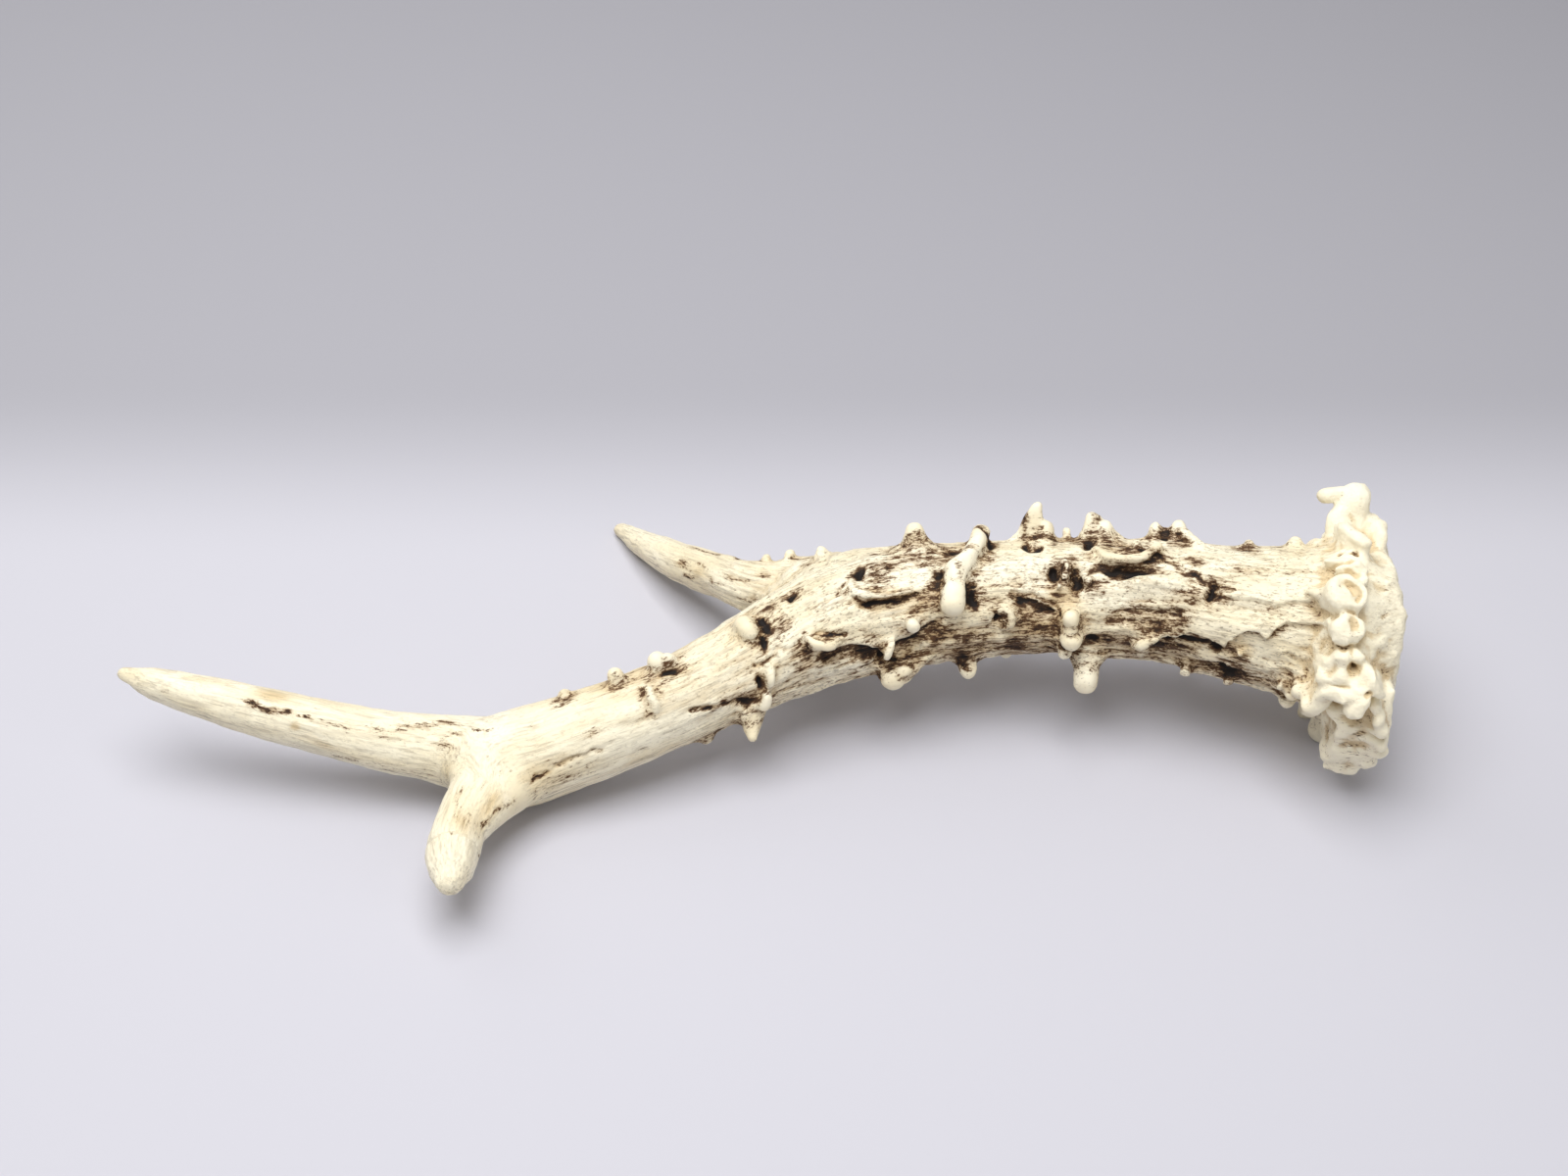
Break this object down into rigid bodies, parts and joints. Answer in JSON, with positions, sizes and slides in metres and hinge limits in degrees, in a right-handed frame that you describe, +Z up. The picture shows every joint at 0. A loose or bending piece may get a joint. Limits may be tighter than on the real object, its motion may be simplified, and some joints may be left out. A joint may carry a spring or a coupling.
{
  "type": "deer antler",
  "caption": "Cast roe deer antler with a knobby coronet, a pearled beam and smooth pointed tines, lying on its side for display.",
  "frame": {"origin": "middle of the antler's box, on the surface that it lies on", "axes": "+X along the beam from the top tine towards the coronet, +Z up, and the rear tine points to -Y"},
  "size_m": [0.2258, 0.1054, 0.0436],
  "materials": {
    "antler_bone": "weathered ivory-coloured bone, dark brown in its furrows and pits, smooth on the tines"
  },
  "bodies": {
    "root": {"lower_beam": "antler_bone", "upper_beam": "antler_bone", "front_tine": "antler_bone", "rear_tine": "antler_bone", "top_tine": "antler_bone"}
  },
  "joints": []
}
